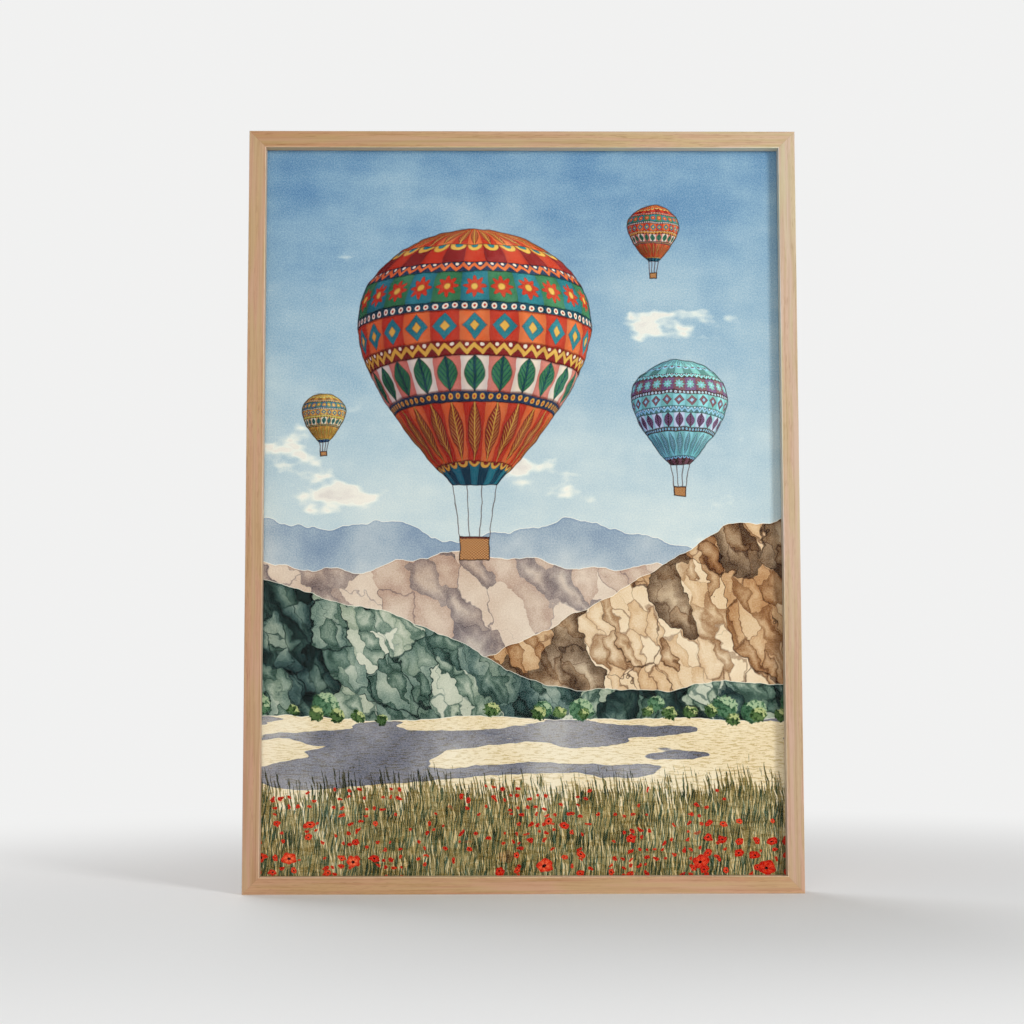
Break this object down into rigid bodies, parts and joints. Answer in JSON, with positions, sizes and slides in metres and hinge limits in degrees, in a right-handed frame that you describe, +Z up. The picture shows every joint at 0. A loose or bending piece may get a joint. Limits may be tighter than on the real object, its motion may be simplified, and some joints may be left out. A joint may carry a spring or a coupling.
{
  "type": "framed print",
  "caption": "Upright wood picture frame with mitred corners, holding a print behind glass; a backing board under swivelling turn buttons closes it, with D-ring hangers on the side rails.",
  "frame": {"origin": "middle of the bottom rail's underside, halfway along its width and through its depth", "axes": "+Z up, the print faces -Y, +X to the right as seen from the front"},
  "size_m": [0.524, 0.0261, 0.724],
  "materials": {
    "oak": "matte",
    "glass": "gloss",
    "print": "matte",
    "foam_board": "matte",
    "backing": "matte",
    "nickel_plate": "satin",
    "screw_steel": "satin",
    "nail_steel": "satin",
    "pad_rubber": "matte"
  },
  "bodies": {
    "frame": {"rail_bottom": "oak", "rail_top": "oak", "rail_left": "oak", "rail_right": "oak", "v_nails": "nail_steel", "glazing": "glass", "print_sheet": "print", "foam_board": "foam_board", "backing_board": "backing", "button_screws": "screw_steel", "strap_left": "nickel_plate", "strap_right": "nickel_plate", "hanger_screws": "screw_steel", "bumper_pads": "pad_rubber"},
    "button_bottom_1": {"button_bottom_1": "nickel_plate"},
    "button_bottom_2": {"button_bottom_2": "nickel_plate"},
    "button_top_1": {"button_top_1": "nickel_plate"},
    "button_top_2": {"button_top_2": "nickel_plate"},
    "button_left_1": {"button_left_1": "nickel_plate"},
    "button_left_2": {"button_left_2": "nickel_plate"},
    "button_left_3": {"button_left_3": "nickel_plate"},
    "button_right_1": {"button_right_1": "nickel_plate"},
    "button_right_2": {"button_right_2": "nickel_plate"},
    "button_right_3": {"button_right_3": "nickel_plate"},
    "ring_left": {"ring_left": "nickel_plate"},
    "ring_right": {"ring_right": "nickel_plate"}
  },
  "joints": [
    {"name": "button_bottom_1_turn", "type": "hinge", "parent": "frame", "child": "button_bottom_1", "pos_m": [-0.13, 0.01135, 0.0055], "axis": [0, 1, 0], "range_deg": [-90, 90]},
    {"name": "button_bottom_2_turn", "type": "hinge", "parent": "frame", "child": "button_bottom_2", "pos_m": [0.13, 0.01135, 0.0055], "axis": [0, 1, 0], "range_deg": [-90, 90]},
    {"name": "button_top_1_turn", "type": "hinge", "parent": "frame", "child": "button_top_1", "pos_m": [-0.13, 0.01135, 0.7185], "axis": [0, 1, 0], "range_deg": [-90, 90]},
    {"name": "button_top_2_turn", "type": "hinge", "parent": "frame", "child": "button_top_2", "pos_m": [0.13, 0.01135, 0.7185], "axis": [0, 1, 0], "range_deg": [-90, 90]},
    {"name": "button_left_1_turn", "type": "hinge", "parent": "frame", "child": "button_left_1", "pos_m": [-0.2565, 0.01135, 0.112], "axis": [0, 1, 0], "range_deg": [-90, 90]},
    {"name": "button_left_2_turn", "type": "hinge", "parent": "frame", "child": "button_left_2", "pos_m": [-0.2565, 0.01135, 0.362], "axis": [0, 1, 0], "range_deg": [-90, 90]},
    {"name": "button_left_3_turn", "type": "hinge", "parent": "frame", "child": "button_left_3", "pos_m": [-0.2565, 0.01135, 0.612], "axis": [0, 1, 0], "range_deg": [-90, 90]},
    {"name": "button_right_1_turn", "type": "hinge", "parent": "frame", "child": "button_right_1", "pos_m": [0.2565, 0.01135, 0.112], "axis": [0, 1, 0], "range_deg": [-90, 90]},
    {"name": "button_right_2_turn", "type": "hinge", "parent": "frame", "child": "button_right_2", "pos_m": [0.2565, 0.01135, 0.362], "axis": [0, 1, 0], "range_deg": [-90, 90]},
    {"name": "button_right_3_turn", "type": "hinge", "parent": "frame", "child": "button_right_3", "pos_m": [0.2565, 0.01135, 0.612], "axis": [0, 1, 0], "range_deg": [-90, 90]},
    {"name": "ring_left_swing", "type": "hinge", "parent": "frame", "child": "ring_left", "pos_m": [-0.2565, 0.013, 0.534], "axis": [1, 0, 0], "range_deg": [0, 180]},
    {"name": "ring_right_swing", "type": "hinge", "parent": "frame", "child": "ring_right", "pos_m": [0.2565, 0.013, 0.534], "axis": [1, 0, 0], "range_deg": [0, 180]}
  ]
}
